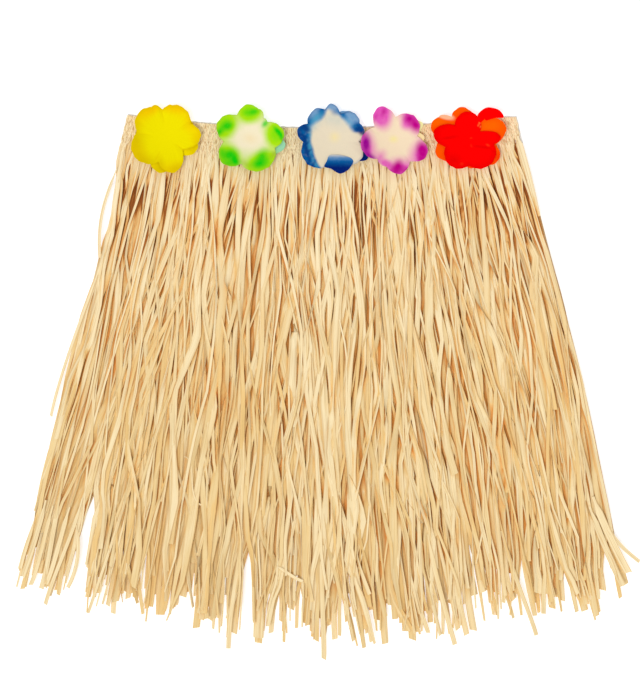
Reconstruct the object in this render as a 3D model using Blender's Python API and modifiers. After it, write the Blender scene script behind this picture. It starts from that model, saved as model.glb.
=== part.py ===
"""A raffia hula skirt laid flat: elastic waist, gathered raffia heading, layers of fringe and five flowers.

Metres, +Z up. The skirt lies on its back panel with the waist towards +Y. It is drawn from the middle of
its waist and then moved so that the centre of its footprint is at the origin, with its underside at Z = 0.
"""

from math import cos, pi, radians, sin
from random import Random

import bmesh
import bpy
from mathutils import Vector

# The waist. "Across" runs from -1 at the left side fold to 1 at the right one, and "drop" is the distance
# below the waist's top edge.
HALF_WAIST = 0.206
SAG = 0.0125  # how far the middle of the waist lies below its ends
FLARE = 0.241  # how much each half widens for each metre of drop
HEADING_DEPTH = 0.030
RIM = 0.0012  # the elastic shows by this above the heading
SEAM = 0.0003  # pieces that meet are this far apart

# Walls
ELASTIC_WALL = 0.0010
HEADING_WALL = 0.0015
PETAL_WALL = 0.0010

# The flat tube's layers, from the seam plane between its front and its back
ELASTIC_INSIDE = SEAM / 2
ELASTIC_OUTSIDE = ELASTIC_INSIDE + ELASTIC_WALL
HEADING_INSIDE = ELASTIC_OUTSIDE + SEAM
HEADING_OUTSIDE = HEADING_INSIDE + HEADING_WALL
SEAM_PLANE = HEADING_OUTSIDE  # its height, which puts the back heading's underside at Z = 0

# The heading's gathers: bunched raffia, pulled in at two rows of stitches
GATHERS = 46
GATHER_HEIGHT = 0.0014
HEADING_ROWS = (
    # (drop, share of the gather's height)
    (0.000, 0.45),
    (0.006, 0.20),
    (0.011, 1.00),
    (0.016, 0.20),
    (0.023, 1.00),
    (HEADING_DEPTH, 0.60),
)
FLAT_COLUMNS = 20  # along a plain stretch
FOLD_COLUMNS = 3  # round each side fold

# The fringe. Each layer is a narrow strip with one lock of raffia drawn out of each of its blocks.
STRIP_DEPTH = 0.006
LOCK_WALL = 0.0012
STRIP_SPACING = LOCK_WALL + SEAM
HANG_SPACING = 0.0022  # the layers lie this far above each other once clear of the strips
SPREAD_DROP = 0.095  # the drop at which they do
SIDE_DROP = 0.490  # where the hem's locks end at the side folds
MIDDLE_DROP = 0.533  # and in the middle
SHORTEST, LONGEST = -0.026, 0.024  # how far single locks fall short of the hem or pass it
ROLL = 0.0003  # how far a lock's edges are tipped up or down
SWAY = 0.006  # how far neighbouring locks swing together to one side at the hem
SWAYS_ACROSS, SWAYS_DOWN = 1.3, 0.5  # how many times they swing across the waist and down to the hem
THINNEST = 0.80  # a lock's width varies from this share of the widest
TIP_WIDTH = 0.72  # and its end is this share of it
SLANT = 0.003  # how far the corners of a cut end lie above or below its middle
FRINGE_LAYERS = (
    # (name, level, locks, lengths of each lock, share of a lock's room that it fills, sway's phase)
    ("fringe_back_outer", 0, 44, 3, 0.74, 0.0),
    ("fringe_back_inner", 1, 46, 3, 0.70, 1.9),
    ("fringe_front_inner", 2, 50, 3, 0.70, 3.4),
    ("fringe_front_middle", 3, 54, 4, 0.68, 5.0),
    ("fringe_front_outer", 4, 56, 4, 0.66, 0.8),
)
PARTINGS = (
    # (across, drop where the locks part, half the opening at the hem)
    (-0.76, 0.395, 0.0085),
    (-0.24, 0.450, 0.0050),
    (0.66, 0.470, 0.0045),
)
PARTING_REACH = 0.10  # a parting pushes locks aside over this much of the waist
STRAY_LAYER, STRAY_SWING, STRAY_DROP = "fringe_front_outer", 0.016, 0.466

# The flowers: centres from the middle of the waist's ends, and tilts that let neighbours pass over each other
FLOWERS = (
    # (name, x, y, dish depth, lean to the right in degrees)
    ("yellow", -0.1630, -0.0240, 0.0075, 0.0),
    ("green", -0.0755, -0.0245, 0.0075, 0.0),
    ("blue", 0.0120, -0.0245, 0.0060, 2.5),
    ("purple", 0.0750, -0.0245, 0.0085, 3.5),
    ("red", 0.1540, -0.0245, 0.0075, 0.0),
)
PETAL_LAYERS = (
    # (flower, layer, level, colour), then each petal's direction in degrees and its reach in millimetres
    (("yellow", "under", 0, "gold"), (-30, 35.5), (35, 32.0), (100, 31.0), (172, 33.0), (243, 33.5)),
    (("yellow", "top", 1, "yellow"), (-2, 35.6), (67, 34.2), (133, 38.5), (219, 39.5), (279, 38.8)),
    (("green", "under", 0, "pale_green"), (-14, 35.6), (45, 30.0), (118, 29.0), (190, 30.0), (262, 28.0)),
    (("green", "top", 1, "green"), (11, 36.5), (90, 36.2), (156, 36.2), (224, 36.2), (298, 36.6)),
    (("blue", "under", 0, "pale_blue"), (-29, 40.0), (50, 34.5), (94, 37.2), (127, 36.0), (250, 30.0)),
    (("blue", "top", 1, "blue"), (15, 31.0), (90, 30.0), (167, 35.5), (226, 37.2), (283, 37.4)),
    (("purple", "under", 0, "cream"), (-45, 30.0), (10, 32.0), (75, 30.0), (255, 30.0), (312, 29.0)),
    (("purple", "top", 1, "purple"), (-19, 37.6), (43, 30.0), (112, 36.0), (186, 34.1), (283, 38.8)),
    (("red", "under", 0, "orange"), (-33, 38.5), (18, 41.0), (108, 34.0), (159, 41.4), (209, 36.2)),
    (("red", "top", 1, "red"), (-46, 35.0), (50, 39.2), (100, 29.0), (174, 35.0), (241, 34.0)),
)
PETAL_RINGS = (0.40, 0.75, 1.00)  # shares of the way from a flower's centre to its edge
STEPS_A_PETAL = 6
NOTCH = 0.70  # the edge between two petals, as a share of their reach
LOBE_POWER = 2.6  # how square-shouldered a petal is
DISH_POWER = 1.8
DISH_RADIUS = 0.036
PETAL_SPACING = 0.0019
PETAL_CROWN = 0.0004

COLOURS = {
    # name: (base colour, roughness)
    "tape": ((0.86, 0.84, 0.80), 0.85),
    "raffia": ((0.87, 0.72, 0.46), 0.60),
    "gold": ((0.86, 0.62, 0.02), 0.70),
    "yellow": ((0.95, 0.82, 0.02), 0.70),
    "pale_green": ((0.45, 0.85, 0.60), 0.70),
    "green": ((0.35, 0.85, 0.05), 0.70),
    "pale_blue": ((0.35, 0.55, 0.85), 0.70),
    "blue": ((0.03, 0.16, 0.55), 0.70),
    "cream": ((0.93, 0.87, 0.62), 0.70),
    "purple": ((0.62, 0.12, 0.70), 0.70),
    "orange": ((1.00, 0.28, 0.01), 0.65),
    "red": ((0.95, 0.01, 0.01), 0.65),
}


def material(name):
    found = bpy.data.materials.get(name)
    if found:
        return found
    colour, roughness = COLOURS[name]
    made = bpy.data.materials.new(name)
    made.use_nodes = True
    shader = made.node_tree.nodes["Principled BSDF"]
    shader.inputs["Base Color"].default_value = (*colour, 1.0)
    shader.inputs["Roughness"].default_value = roughness
    shader.inputs["Metallic"].default_value = 0.0
    made.diffuse_color = (*colour, 1.0)
    return made


def place(name, bm, colour, parent, collection):
    """Turns a bmesh into the named object, under its parent."""
    bmesh.ops.recalc_face_normals(bm, faces=bm.faces)
    mesh = bpy.data.meshes.new(name)
    bm.to_mesh(mesh)
    bm.free()
    mesh.materials.append(material(colour))
    made = bpy.data.objects.new(name, mesh)
    made.parent = parent
    collection.objects.link(made)
    return made


def waist_point(across, drop):
    """Where a point of the flat garment lies, seen from above, before its strands sway."""
    return Vector((across * (HALF_WAIST + FLARE * drop), -SAG * (1 - across**2) - drop, 0.0))


def tube_columns(stretches):
    """(across, turn) along half of the flat tube: round its left fold, along it, round its right fold."""
    fold = [pi / 2 * step / FOLD_COLUMNS for step in range(FOLD_COLUMNS)]
    left = [(-1.0, pi - turn) for turn in fold]
    along = [(2 * step / stretches - 1, pi / 2) for step in range(stretches + 1)]
    right = [(1.0, turn) for turn in reversed(fold)]
    return left + along + right


def tube_point(column, drop, outside, side):
    """A point of the tube's wall, this far outside the seam plane. Side is 1 at the front, -1 at the back."""
    across, turn = column
    point = waist_point(across, drop)
    point.x += outside * cos(turn)
    point.z = SEAM_PLANE + side * (SEAM / 2 + (outside - SEAM / 2) * sin(turn))
    return point


def half_tube(name, columns, outer_rows, inner_rows, side, colour, parent, collection):
    """A wall lofted through columns. A row is (drop, how far outside the seam plane it lies at a column)."""
    bm = bmesh.new()
    rows = [*outer_rows, *reversed(inner_rows)]
    rings = []
    for number, column in enumerate(columns):
        ring = [bm.verts.new(tube_point(column, drop, outside(number), side)) for drop, outside in rows]
        rings.append(ring)
    for one, other in zip(rings, rings[1:]):
        for i in range(len(rows)):
            j = (i + 1) % len(rows)
            bm.faces.new((one[i], one[j], other[j], other[i]))
    bm.faces.new(rings[0])
    bm.faces.new(rings[-1])
    return place(name, bm, colour, parent, collection)


def elastic(side_name, side, parent, collection):
    """One half of the waist tape, whose top rim stands above the heading."""
    drops = (-RIM, HEADING_DEPTH - RIM)
    outer = [(drop, lambda number: ELASTIC_OUTSIDE) for drop in drops]
    inner = [(drop, lambda number: ELASTIC_INSIDE) for drop in drops]
    columns = tube_columns(FLAT_COLUMNS)
    return half_tube("waist_elastic_" + side_name, columns, outer, inner, side, "tape", parent, collection)


def heading(side_name, side, gathers, parent, collection):
    """One half of the gathered raffia over the elastic. Its gathers stand out of a wall that is plain inside."""
    columns = tube_columns(2 * gathers if gathers else FLAT_COLUMNS)

    def outside(share):
        def at(number):
            crest = gathers and columns[number][1] == pi / 2 and number % 2 == 0
            return HEADING_OUTSIDE + (share * GATHER_HEIGHT if crest else 0.0)

        return at

    rows = HEADING_ROWS if gathers else (HEADING_ROWS[0], HEADING_ROWS[-1])
    outer = [(drop, outside(share)) for drop, share in rows]
    inner = [(drop, lambda number: HEADING_INSIDE) for drop in (0.0, HEADING_DEPTH)]
    return half_tube("heading_" + side_name, columns, outer, inner, side, "raffia", parent, collection)


def parting_push(across, drop):
    """How far the partings of the fringe move a strand sideways at this drop."""
    push = 0.0
    for middle, start, half_opening in PARTINGS:
        open_share = max(0.0, drop - start) / (MIDDLE_DROP - start)
        side = 1.0 if across > middle else -1.0
        nearness = max(0.0, 1.0 - abs(across - middle) / PARTING_REACH)
        push += side * half_opening * open_share * nearness
    return push


def hang(across, drop, phase):
    """The middle of a strand at this drop, seen from above."""
    point = waist_point(across, drop)
    share = drop / MIDDLE_DROP
    turns = SWAYS_ACROSS * across + SWAYS_DOWN * share
    point.x += SWAY * share * sin(2 * pi * turns + phase)
    point.x += parting_push(across, drop)
    return point


def lock_sections(across, room, level, lengths, fill, phase, stray, rng):
    """The sections of one lock below its strip, each as (middle, half width, roll)."""
    hem = MIDDLE_DROP + (SIDE_DROP - MIDDLE_DROP) * across**2
    end = STRAY_DROP if stray else hem + rng.uniform(SHORTEST, LONGEST)
    sections = []
    for step in range(1, lengths + 1):
        if step == 1:
            drop = SPREAD_DROP
        else:
            drop = SPREAD_DROP + (end - SPREAD_DROP) * (step - 1) / (lengths - 1)
        middle = hang(across, drop, phase)
        if stray:
            middle.x += STRAY_SWING * ((drop - SPREAD_DROP) / (end - SPREAD_DROP)) ** 2
        middle.z = level * HANG_SPACING + LOCK_WALL / 2
        filled = fill * rng.uniform(THINNEST, 1.0) * (TIP_WIDTH if step == lengths else 1.0)
        half = filled * room * (HALF_WAIST + FLARE * drop) / 2
        roll = 0.0 if level == 0 else rng.uniform(-ROLL, ROLL)
        sections.append((middle, half, roll))
    return sections


def fringe_layer(name, level, locks, lengths, fill, phase, parent, collection):
    """A strip just below the heading, in blocks side by side, and a lock drawn out of each block."""
    rng = Random(name)
    bm = bmesh.new()
    low, high = level * STRIP_SPACING, level * STRIP_SPACING + LOCK_WALL
    top, bottom = HEADING_DEPTH + SEAM, HEADING_DEPTH + SEAM + STRIP_DEPTH
    bmesh.ops.create_grid(bm, x_segments=locks, y_segments=1, size=1.0)
    for vert in bm.verts:
        vert.co = waist_point(vert.co.x, top if vert.co.y > 0 else bottom) + Vector((0, 0, low))
    raised = bmesh.ops.extrude_face_region(bm, geom=bm.faces[:])["geom"]
    for vert in (item for item in raised if isinstance(item, bmesh.types.BMVert)):
        vert.co.z = high
    bmesh.ops.recalc_face_normals(bm, faces=bm.faces)
    lower_faces = [face for face in bm.faces if face.normal.y < -0.5]
    lower_faces.sort(key=lambda face: face.calc_center_median().x)
    room = 2.0 / locks
    for number, face in enumerate(lower_faces):
        across = (number + 0.5) * room - 1.0
        stray = name == STRAY_LAYER and number == locks - 1
        for section in lock_sections(across, room, level, lengths, fill, phase, stray, rng):
            face = draw_out(bm, face, *section)
        cut_end(face, rng.uniform(-SLANT, SLANT))
    return place(name, bm, "raffia", parent, collection)


def draw_out(bm, face, middle, half_width, roll):
    """Extrudes a lock's last face to its next section."""
    was = face.calc_center_median()
    drawn = bmesh.ops.extrude_discrete_faces(bm, faces=[face])["faces"][0]
    for vert in drawn.verts:
        right = 1 if vert.co.x > was.x else -1
        upper = 1 if vert.co.z > was.z else -1
        vert.co = middle + Vector((right * half_width, 0.0, upper * LOCK_WALL / 2 + right * roll))
    return drawn


def cut_end(face, slant):
    """Cuts a lock's end on the slant."""
    middle = face.calc_center_median()
    for vert in face.verts:
        vert.co.y += slant if vert.co.x > middle.x else -slant


def petal_edge(petals):
    """(angle, reach) round a flower's edge, from notch to notch over each of its petals."""
    petals = [(radians(direction), reach / 1000) for direction, reach in petals]
    edge = []
    for number, (direction, reach) in enumerate(petals):
        before, after = petals[number - 1], petals[(number + 1) % len(petals)]
        start = (direction + before[0] - (2 * pi if number == 0 else 0)) / 2
        end = (direction + after[0] + (2 * pi if number == len(petals) - 1 else 0)) / 2
        start_reach, end_reach = NOTCH * (reach + before[1]) / 2, NOTCH * (reach + after[1]) / 2
        for step in range(STEPS_A_PETAL):
            angle = start + (end - start) * step / STEPS_A_PETAL
            early = angle < direction
            notch = start_reach if early else end_reach
            away = (angle - direction) / ((start if early else end) - direction)
            edge.append((angle, notch + (reach - notch) * (1 - away**LOBE_POWER), 1 - away**2))
    return edge


def petal_layer(flower, layer, level, colour, petals, dish, parent, collection):
    """A dished layer of petals: an open sheet of rings round a centre, made a wall by Solidify."""
    bm = bmesh.new()
    edge = petal_edge(petals)
    centre = bm.verts.new((0.0, 0.0, level * PETAL_SPACING))
    rings = []
    for share in PETAL_RINGS:
        ring = []
        for angle, reach, crown in edge:
            radius = share * reach
            height = level * PETAL_SPACING + dish * (radius / DISH_RADIUS) ** DISH_POWER
            height += PETAL_CROWN * crown * share * level
            ring.append(bm.verts.new((radius * cos(angle), radius * sin(angle), height)))
        rings.append(ring)
    for i in range(len(edge)):
        j = (i + 1) % len(edge)
        bm.faces.new((centre, rings[0][i], rings[0][j]))
        for one, other in zip(rings, rings[1:]):
            bm.faces.new((one[i], other[i], other[j], one[j]))
    made = place(f"flower_{flower}_{layer}", bm, colour, parent, collection)
    wall = made.modifiers.new("wall", "SOLIDIFY")
    wall.thickness = PETAL_WALL
    wall.offset = 0.0
    return made


def flower_centre(name, parent, collection):
    """The point where a flower is sewn to the heading, as an empty that its petal layers hang under."""
    _, x, y, _, lean = next(row for row in FLOWERS if row[0] == name)
    centre = bpy.data.objects.new(f"{name}_flower", None)
    centre.parent = parent
    centre.location = (x, y, SEAM_PLANE + HEADING_OUTSIDE + GATHER_HEIGHT + SEAM + PETAL_WALL / 2)
    centre.rotation_euler = (0.0, radians(lean), 0.0)
    collection.objects.link(centre)
    return centre


def centre_footprint(garment, pieces):
    """Moves the garment so that its box is centred on the origin."""
    bpy.context.view_layer.update()
    corners = [piece.matrix_world @ Vector(corner) for piece in pieces for corner in piece.bound_box]
    for axis in (0, 1):
        places = [corner[axis] for corner in corners]
        garment.location[axis] = -(min(places) + max(places)) / 2


def main():
    for old in list(bpy.data.objects):
        bpy.data.objects.remove(old)
    collection = bpy.data.collections.new("grass_skirt")
    bpy.context.scene.collection.children.link(collection)
    garment = bpy.data.objects.new("waist_middle", None)
    collection.objects.link(garment)
    pieces = []
    for side_name, side, gathers in (("front", 1, GATHERS), ("back", -1, 0)):
        pieces.append(elastic(side_name, side, garment, collection))
        pieces.append(heading(side_name, side, gathers, garment, collection))
    for row in FRINGE_LAYERS:
        pieces.append(fringe_layer(*row, garment, collection))
    dishes = {}
    centres = {}
    for name, _, _, dish, _ in FLOWERS:
        dishes[name] = dish
        centres[name] = flower_centre(name, garment, collection)
    for (flower, layer, level, colour), *petals in PETAL_LAYERS:
        row = (flower, layer, level, colour, petals, dishes[flower], centres[flower], collection)
        pieces.append(petal_layer(*row))
    centre_footprint(garment, pieces)


main()
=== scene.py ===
"""A raffia hula skirt laid flat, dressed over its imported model: elastic waist, bunched heading, ribbons of
raffia and five cloth flowers. Metres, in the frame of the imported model."""

import math

import bpy
import numpy as np
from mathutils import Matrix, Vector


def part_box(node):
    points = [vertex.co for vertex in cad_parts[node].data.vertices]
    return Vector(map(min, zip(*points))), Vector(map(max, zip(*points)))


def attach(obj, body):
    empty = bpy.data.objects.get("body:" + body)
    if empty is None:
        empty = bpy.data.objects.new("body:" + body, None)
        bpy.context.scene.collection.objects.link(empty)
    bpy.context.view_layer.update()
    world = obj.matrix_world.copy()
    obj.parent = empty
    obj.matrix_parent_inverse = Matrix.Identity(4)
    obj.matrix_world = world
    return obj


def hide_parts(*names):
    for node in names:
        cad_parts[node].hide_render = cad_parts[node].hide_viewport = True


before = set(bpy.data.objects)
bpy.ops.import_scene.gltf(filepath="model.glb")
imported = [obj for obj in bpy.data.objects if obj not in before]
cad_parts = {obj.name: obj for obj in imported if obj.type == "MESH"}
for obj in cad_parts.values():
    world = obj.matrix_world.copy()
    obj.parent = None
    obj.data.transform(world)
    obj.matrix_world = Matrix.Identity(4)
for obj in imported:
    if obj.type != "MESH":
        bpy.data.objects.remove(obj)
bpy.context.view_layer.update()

# ----------------------------------------------------------------------------------------------------------
# The camera looks straight down on the laid skirt through a long lens, so that it sees it nearly square on.
# Its view is 700 pixels high, and one of them covers 1.057 mm of the skirt.
VIEW_HIGH = 700
MM_A_PIXEL = 1.057
VIEW_MIDDLE = (-0.0037, 0.0306)
CAMERA_HEIGHT = 3.5
SENSOR = 36.0

camera_data = bpy.data.cameras.new("overhead_camera")
camera_data.sensor_width = SENSOR
camera_data.lens = SENSOR * CAMERA_HEIGHT / (VIEW_HIGH * MM_A_PIXEL / 1000)
camera = bpy.data.objects.new("overhead_camera", camera_data)
camera.location = (*VIEW_MIDDLE, CAMERA_HEIGHT)
bpy.context.collection.objects.link(camera)
bpy.context.scene.camera = camera
bpy.context.scene.view_settings.view_transform = "Standard"

# ----------------------------------------------------------------------------------------------------------
# The waist elastic is a flat white woven tape. It goes round the waist inside the heading, relaxed, and only
# its top rim stands out. Here it is in two halves, front and back, that meet at the side folds.
waist_low, waist_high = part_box("heading_front")
WAIST_MIDDLE = (waist_low.x + waist_high.x) / 2
WAIST_TOP = waist_high.y
HALF_WAIST = 0.206
SAG = 0.0138  # how far the waist's middle lies below its ends
DROOP, DROOP_START = 0.11, 0.85  # how strongly the right end droops, and from how far across
FLARE = 0.241  # how much wider half the skirt is a metre down
HEADING_DEPTH = 0.030
TAPE_RIM = 0.0014  # how far the tape stands out above the heading
TAPE_ROWS = (-TAPE_RIM, -TAPE_RIM + 0.0004, 0.004, 0.014, HEADING_DEPTH - 0.003)
TAPE_STATIONS = 160
TAPE_PUCKER, TAPE_UNEVEN = 0.0004, 0.00008
PUCKER_TURNS, PUCKER_DRIFT, DRIFT_TURNS = 160, 2.0, 23  # the rim's waves, and what makes them unlike
FOLD_START, FOLD_LENGTH = 0.985, 0.015  # the tape turns round the side folds over this much of the waist


def laid(across, drop):
    """Where a point of the laid skirt is: across is -1 to 1 between the side folds, drop is down from the
    waist."""
    across, drop = np.broadcast_arrays(np.asarray(across, float), np.asarray(drop, float))
    x = WAIST_MIDDLE + across * (HALF_WAIST + FLARE * drop)
    y = WAIST_TOP - SAG * (1 - across**2) - DROOP * np.maximum(across - DROOP_START, 0) ** 2 - drop
    return x, y


def mesh_piece(name, verts, faces, material, smooth_angle=40.0, **attributes):
    """A piece of arrays of vertices and faces, with a vector attribute of the same length for each name."""
    mesh = bpy.data.meshes.new(name)
    mesh.from_pydata([tuple(v) for v in verts], [], [tuple(f) for f in faces])
    for key, values in attributes.items():
        layer = mesh.attributes.new(key, "FLOAT_VECTOR", "POINT")
        layer.data.foreach_set("vector", np.ascontiguousarray(values, dtype=np.float32).ravel())
    mesh.materials.append(material)
    mesh.shade_smooth()
    mesh.set_sharp_from_angle(angle=math.radians(smooth_angle))
    piece = bpy.data.objects.new(name, mesh)
    bpy.context.collection.objects.link(piece)
    return piece


def tube_faces(rings, points, closed_ends=True):
    """Faces of a tube of so many rings of so many points, rings one after another."""
    ring, point = np.meshgrid(np.arange(rings - 1), np.arange(points), indexing="ij")
    beside = (point + 1) % points
    a, b = ring * points + point, ring * points + beside
    sides = np.stack([a, b, b + points, a + points], axis=-1).reshape(-1, 4)
    faces = [tuple(face) for face in sides.tolist()]
    if closed_ends:
        last = (rings - 1) * points
        faces.append(tuple(range(points - 1, -1, -1)))
        faces.append(tuple(range(last, last + points)))
    return faces


class Wire:
    """A shader socket that takes arithmetic: sums and products of values add their Math nodes."""

    def __init__(self, tree, socket=None):
        self.tree, self.socket = tree, socket

    def add(self, kind, settings=None, inputs=None, output=0):
        """Puts in a node of this kind: its settings first, then the values or wires of its sockets."""
        node = self.tree.nodes.new("ShaderNode" + kind)
        for name, value in (settings or {}).items():
            setattr(node, name, value)
        for name, value in (inputs or {}).items():
            if isinstance(value, Wire):
                self.tree.links.new(value.socket, node.inputs[name])
            else:
                node.inputs[name].default_value = value
        return Wire(self.tree, node.outputs[output])

    def sum(self, operation, *values):
        return self.add("Math", {"operation": operation}, dict(enumerate(values)))

    def __add__(self, other):
        return self.sum("ADD", self, other)

    def __sub__(self, other):
        return self.sum("SUBTRACT", self, other)

    def __rsub__(self, other):
        return self.sum("SUBTRACT", other, self)

    def __mul__(self, other):
        return self.sum("MULTIPLY", self, other)

    __radd__ = __add__
    __rmul__ = __mul__

    def between(self, low, high):
        """0 where the value is low, 1 where it is high, smoothly between."""
        span = {"interpolation_type": "SMOOTHSTEP"}
        return self.add("MapRange", span, {"Value": self, "From Min": low, "From Max": high})

    def noise(self, scale, detail, **inputs):
        """Noise at this place."""
        return self.add("TexNoise", None, {"Vector": self, "Scale": scale, "Detail": detail, **inputs})

    def waves(self, direction, scale, distortion):
        """Threads across this direction at this place."""
        inputs = {"Vector": self, "Scale": scale, "Distortion": distortion}
        return self.add("TexWave", {"bands_direction": direction}, inputs, output=1)

    def mix(self, one, other):
        """The mix of two colours, each a wire or its three values, by this value."""
        colours = [colour if isinstance(colour, Wire) else (*colour, 1.0) for colour in (one, other)]
        return self.add("Mix", {"data_type": "RGBA"}, {0: self, 6: colours[0], 7: colours[1]}, output=2)


def start_material(name, roughness, **sockets):
    """A material with one Principled shader. Returns it, the shader and a wire into its tree."""
    material = bpy.data.materials.new(name)
    material.use_nodes = True
    shader = material.node_tree.nodes["Principled BSDF"]
    shader.inputs["Roughness"].default_value = roughness
    for socket, value in sockets.items():
        shader.inputs[socket.replace("_", " ")].default_value = value
    return material, shader, Wire(material.node_tree)


def wire_up(shader, wires, bump, bump_strength=0.3, bump_distance=0.0002):
    """Leads wires to the shader's sockets, and a height to its normal."""
    sizes = {"Strength": bump_strength, "Distance": bump_distance, "Height": bump}
    for name, wire in {**wires, "Normal": bump.add("Bump", None, sizes)}.items():
        wire.tree.links.new(wire.socket, shader.inputs[name])


def tape_material():
    """Matte white woven elastic, with fine ribs along it and slightly greyed threads."""
    material, shader, wire = start_material("waist_tape", 0.85, Sheen_Weight=0.2)
    place = wire.add("TexCoord", output="Object")
    fuzz = place.noise(900.0, 3.0)
    shade = place.waves("Y", 320.0, 0.5) * 0.4 + fuzz * 0.6
    greyed, white = (0.78, 0.74, 0.70), (0.93, 0.91, 0.88)
    wire_up(shader, {"Base Color": shade.mix(greyed, white)}, shade)
    return material


def tape_half(name, node, material):
    """Half of the tape: a thin closed wall on the node's form, whose rim puckers as relaxed elastic does."""
    low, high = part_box(node)
    outer, inner = (high.z, low.z) if node.endswith("front") else (low.z, high.z)
    seam = (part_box("waist_elastic_front")[0].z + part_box("waist_elastic_back")[1].z) / 2
    across = np.linspace(-1.0, 1.0, TAPE_STATIONS)
    uneven = np.random.default_rng(11).normal(0, TAPE_UNEVEN, TAPE_STATIONS)
    turns = across * PUCKER_TURNS + PUCKER_DRIFT * np.sin(across * DRIFT_TURNS)
    pucker = TAPE_PUCKER * np.sin(turns) + uneven
    verts = []
    for where, ripple in zip(across, pucker):
        fold = max(0.0, abs(where) - FOLD_START) / FOLD_LENGTH
        for side, rows in ((outer, TAPE_ROWS), (inner, TAPE_ROWS[::-1])):
            lift = (side - seam) * math.sqrt(max(0.0, 1 - fold**2))
            for drop in rows:
                x, y = laid(where, drop)
                verts.append((float(x), float(y) + (ripple if drop < 0 else 0.0), seam + lift))
    piece = mesh_piece(name, verts, tube_faces(TAPE_STATIONS, 2 * len(TAPE_ROWS)), material)
    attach(piece, "root")
    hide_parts(node)


tape = tape_material()
tape_half("waist_tape_front", "waist_elastic_front", tape)
tape_half("waist_tape_back", "waist_elastic_back", tape)

# ----------------------------------------------------------------------------------------------------------
# The raffia: flat creased ribbons of dried palm leaf, bunched side by side over the tape, stitched across in
# rows and left to hang, in three layers and some loose slips in front and in two layers behind. The stitched
# tops of two layers at a time make the front and back heading, and their free lengths make the fringe.
RAFFIA_PAPER = 0.00022  # thickness
# A ribbon's section: (place from edge to edge, which face it is on)
SECTION = np.array(((-1, 0), (-0.5, 1), (0, 1), (0.5, 1), (1, 0), (0.5, -1), (0, -1), (-0.5, -1)), float)
STITCH_ROWS = (0.0056, 0.0090, 0.0122, 0.0154, 0.0188, 0.0222)  # drops
STITCH_REACH = 0.0010
STITCHED_STATIONS = 38
STITCHED_WIDTH = 0.0027
# Where the longest ribbons end: (across, drop)
HEM = np.array((
    (-1.00, 0.502), (-0.80, 0.510), (-0.765, 0.519), (-0.65, 0.523), (-0.55, 0.530), (-0.42, 0.537),
    (-0.30, 0.550), (-0.22, 0.548), (0.00, 0.550), (0.25, 0.552), (0.40, 0.542), (0.55, 0.527),
    (0.72, 0.531), (0.83, 0.536), (0.90, 0.537), (0.935, 0.530), (0.97, 0.513), (1.00, 0.500),
)).T
HEM_DROP = 0.545
# How far in from straight sides the fringe's edges lie: (drop, distance)
LEFT_EDGE = np.array((
    (0.000, 0), (0.050, 0), (0.070, 0.0050), (0.110, 0.0090), (0.135, 0.0055), (0.175, 0.0055),
    (0.215, 0), (0.385, 0), (0.430, 0.0030), (0.460, 0),
)).T
RIGHT_EDGE = np.array((
    (0.000, 0), (0.012, 0.0010), (0.028, 0.0042), (0.050, 0.0042), (0.075, 0.0010), (0.200, -0.0030),
    (0.280, -0.0050), (0.380, -0.0010), (0.600, 0),
)).T
# In front two slits open below the heading near its ends: (across, how far aside the ribbons are there)
SLITS = np.array((
    (-0.985, 0), (-0.953, -0.0034), (-0.947, 0.0034), (-0.910, 0),
    (0.920, 0), (0.967, -0.0062), (0.974, 0.0026), (0.990, 0),
)).T
SLIT_DROP, SLIT_LENGTH = 0.036, 0.013
# Where the fringe parts: (across and drop of its start, across at the hem, half the opening at the hem)
PARTINGS = (
    (-0.798, 0.392, -0.812, 0.0108),
    (-0.249, 0.440, -0.234, 0.0078),
    (-0.134, 0.482, -0.132, 0.0026),
    (-0.071, 0.479, -0.070, 0.0020),
    (0.066, 0.490, 0.067, 0.0022),
    (0.658, 0.466, 0.650, 0.0052),
    (0.796, 0.475, 0.790, 0.0058),
    (0.941, 0.461, 0.945, 0.0048),
)
PARTING_REACH = 0.040  # ribbons this near a parting are pushed aside by it
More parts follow.
